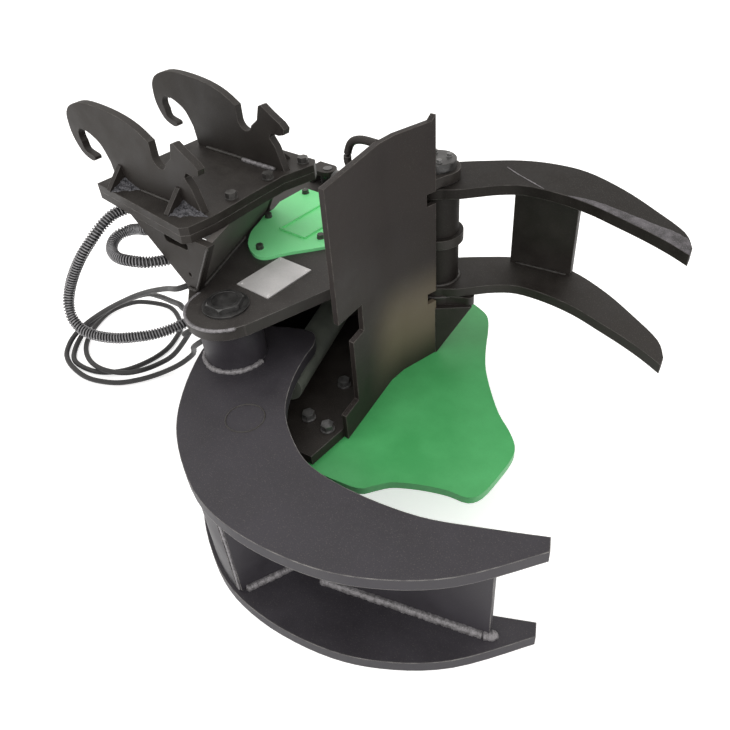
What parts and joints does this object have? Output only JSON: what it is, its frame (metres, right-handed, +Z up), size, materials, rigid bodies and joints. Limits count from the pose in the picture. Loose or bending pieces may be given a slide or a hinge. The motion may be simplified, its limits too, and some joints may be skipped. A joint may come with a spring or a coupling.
{
  "type": "excavator tree shear",
  "caption": "Hydraulic tree shear for an excavator: a hinged jaw cuts a stem against a fixed blade, and a collector arm holds the cut stems against a bent plate.",
  "frame": {"origin": "centre of the seat in the coupler's front hooks, midway between the two ears", "axes": "+X from the coupler towards the tree, +Z up, +Y towards the collector arm's side; the pin seats run along Y"},
  "size_m": [1.785, 1.1137, 0.8374],
  "materials": {
    "black_paint": "satin",
    "jaw_paint": "satin",
    "cylinder_paint": "gloss",
    "cover_green": "satin",
    "blade_green": "satin",
    "data_plate": "satin",
    "bolt_steel": "satin",
    "pin_steel": "satin",
    "rod_chrome": "polished",
    "spiral_guard": "satin",
    "hose_rubber": "matte"
  },
  "bodies": {
    "frame": {"base_plate": "black_paint", "blade": "blade_green", "blade_bolts": "bolt_steel", "front_plate": "black_paint", "top_plate": "black_paint", "body_shell": "black_paint", "floor_plate": "black_paint", "jaw_hub_tube": "black_paint", "hub_web": "black_paint", "collector_top_lug": "black_paint", "collector_lower_lug": "black_paint", "lug_gusset": "black_paint", "lug_column": "black_paint", "access_cover": "cover_green", "cover_bolts": "bolt_steel", "data_plate": "data_plate", "neck_side_near": "black_paint", "neck_side_far": "black_paint", "neck_rib": "black_paint", "neck_front_wall": "black_paint", "neck_flange": "black_paint", "coupler_base": "black_paint", "coupler_ear_left": "black_paint", "coupler_ear_right": "black_paint", "coupler_gussets": "black_paint", "flange_bolts": "bolt_steel", "lifting_eye": "black_paint", "jaw_pin": "pin_steel", "jaw_pin_washer": "pin_steel", "jaw_pin_nut": "black_paint", "collector_pin": "pin_steel", "collector_pin_cap": "black_paint", "cap_bolts": "bolt_steel", "thrust_rings": "pin_steel", "cylinder_anchor": "black_paint", "anchor_pin": "pin_steel", "collector_anchor": "black_paint", "collector_barrel": "cylinder_paint", "hose_bulkhead": "black_paint", "hose_fittings": "bolt_steel", "guarded_hose_long": "spiral_guard", "guarded_hose_short": "spiral_guard", "supply_hose_a": "hose_rubber", "supply_hose_b": "hose_rubber"},
    "jaw": {"jaw_upper_plate": "jaw_paint", "jaw_lower_plate": "jaw_paint", "jaw_hub_sleeve": "jaw_paint", "jaw_rim_wall": "jaw_paint", "jaw_cross_web": "jaw_paint", "jaw_long_web": "jaw_paint", "jaw_clevis": "jaw_paint", "jaw_cylinder_pin": "pin_steel"},
    "collector": {"arm_upper_plate": "jaw_paint", "arm_lower_plate": "jaw_paint", "arm_sleeve": "jaw_paint", "arm_spacer": "jaw_paint", "arm_lever": "jaw_paint"},
    "jaw_cylinder": {"jaw_barrel": "cylinder_paint"},
    "jaw_rod_body": {"jaw_rod": "rod_chrome"},
    "collector_rod_body": {"collector_rod": "rod_chrome"}
  },
  "joints": [
    {"name": "jaw_hinge", "type": "hinge", "parent": "frame", "child": "jaw", "pos_m": [0.515, -0.1925, -0.51], "axis": [0, 0, 1], "range_deg": [0, 20]},
    {"name": "jaw_cylinder_hinge", "type": "hinge", "parent": "frame", "child": "jaw_cylinder", "pos_m": [0.482, 0.2595, -0.497], "axis": [0, 0, 1], "range_deg": [0, 6.5]},
    {"name": "jaw_rod_slide", "type": "slide", "parent": "jaw_cylinder", "child": "jaw_rod_body", "axis": [0.3499, -0.9368, 0], "range_m": [-0.053, 0]},
    {"name": "collector_hinge", "type": "hinge", "parent": "frame", "child": "collector", "pos_m": [0.746, 0.3345, -0.262], "axis": [0, 0, 1], "range_deg": [-60, 0]},
    {"name": "collector_rod_slide", "type": "slide", "parent": "frame", "child": "collector_rod_body", "axis": [1, 0, 0], "range_m": [0, 0.115]}
  ],
  "couplings": [
    {"joint": "jaw_cylinder_hinge", "follows": "jaw_hinge", "ratio": 0.309},
    {"joint": "jaw_rod_slide", "follows": "jaw_hinge", "m_per_rad": -0.14668},
    {"joint": "collector_rod_slide", "follows": "collector_hinge", "m_per_rad": -0.10886}
  ]
}
